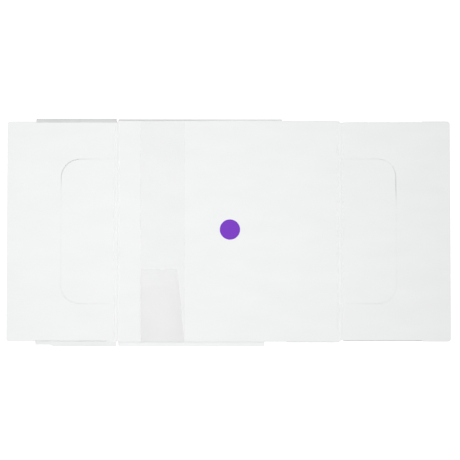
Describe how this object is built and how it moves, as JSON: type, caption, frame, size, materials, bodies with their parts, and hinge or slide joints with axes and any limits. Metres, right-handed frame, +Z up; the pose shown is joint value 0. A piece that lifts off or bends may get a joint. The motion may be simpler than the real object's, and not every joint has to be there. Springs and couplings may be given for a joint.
{
  "type": "cardboard cake box",
  "caption": "Flat-packed corrugated cake box: square lid with fold-down wings, cut lift flaps, walls, tabs and a folding bottom.",
  "frame": {"origin": "centre of the flat pack's underside, on the surface it lies on", "axes": "+X to the right along both side wings, +Y to the back edge, +Z up out of the lid's printed face"},
  "size_m": [0.6036, 0.3106, 0.0056],
  "materials": {
    "board": "matte",
    "film": "satin",
    "label": "satin"
  },
  "bodies": {
    "lid": {"top_panel": "board", "film_strip": "film", "film_lap": "film", "round_label": "label"},
    "left_wing": {"left_wing": "board"},
    "left_lift_flap": {"left_lift_flap": "board"},
    "left_front_tab": {"left_front_tab": "board"},
    "left_back_tab": {"left_back_tab": "board"},
    "right_wing": {"right_wing": "board"},
    "right_lift_flap": {"right_lift_flap": "board"},
    "right_front_tab": {"right_front_tab": "board"},
    "right_back_tab": {"right_back_tab": "board"},
    "front_wall": {"front_wall": "board"},
    "front_bottom": {"front_bottom": "board"},
    "back_wall": {"back_wall": "board"},
    "back_bottom": {"back_bottom": "board"}
  },
  "joints": [
    {"name": "left_wing_fold", "type": "hinge", "parent": "lid", "child": "left_wing", "pos_m": [-0.1525, 0.00125, 0.00365], "axis": [0, -1, 0], "range_deg": [0, 90]},
    {"name": "left_lift_flap_fold", "type": "hinge", "parent": "lid", "child": "left_lift_flap", "pos_m": [-0.1525, 0.00125, 0.00365], "axis": [0, -1, 0], "range_deg": [0, 90]},
    {"name": "left_front_tab_fold", "type": "hinge", "parent": "left_wing", "child": "left_front_tab", "pos_m": [-0.209, -0.14715, 0.00365], "axis": [-1, 0, 0], "range_deg": [0, 90]},
    {"name": "left_back_tab_fold", "type": "hinge", "parent": "left_wing", "child": "left_back_tab", "pos_m": [-0.209, 0.14965, 0.00365], "axis": [1, 0, 0], "range_deg": [0, 90]},
    {"name": "right_wing_fold", "type": "hinge", "parent": "lid", "child": "right_wing", "pos_m": [0.1525, 0.00125, 0.00365], "axis": [0, 1, 0], "range_deg": [0, 90]},
    {"name": "right_lift_flap_fold", "type": "hinge", "parent": "lid", "child": "right_lift_flap", "pos_m": [0.1525, 0.00125, 0.00365], "axis": [0, 1, 0], "range_deg": [0, 90]},
    {"name": "right_front_tab_fold", "type": "hinge", "parent": "right_wing", "child": "right_front_tab", "pos_m": [0.209, -0.14715, 0.00365], "axis": [-1, 0, 0], "range_deg": [0, 90]},
    {"name": "right_back_tab_fold", "type": "hinge", "parent": "right_wing", "child": "right_back_tab", "pos_m": [0.209, 0.14965, 0.00365], "axis": [1, 0, 0], "range_deg": [0, 90]},
    {"name": "front_wall_fold", "type": "hinge", "parent": "lid", "child": "front_wall", "pos_m": [0, -0.14905, 0.00365], "axis": [-1, 0, 0], "range_deg": [0, 90]},
    {"name": "front_bottom_fold", "type": "hinge", "parent": "front_wall", "child": "front_bottom", "pos_m": [0, 0.00025, 0.00175], "axis": [1, 0, 0], "range_deg": [0, 270]},
    {"name": "back_wall_fold", "type": "hinge", "parent": "lid", "child": "back_wall", "pos_m": [0, 0.15155, 0.00365], "axis": [1, 0, 0], "range_deg": [0, 90]},
    {"name": "back_bottom_fold", "type": "hinge", "parent": "back_wall", "child": "back_bottom", "pos_m": [0, 0.00415, 0.00175], "axis": [-1, 0, 0], "range_deg": [0, 270]}
  ],
  "couplings": [
    {"joint": "front_bottom_fold", "follows": "front_wall_fold", "ratio": 3},
    {"joint": "back_bottom_fold", "follows": "back_wall_fold", "ratio": 3}
  ]
}
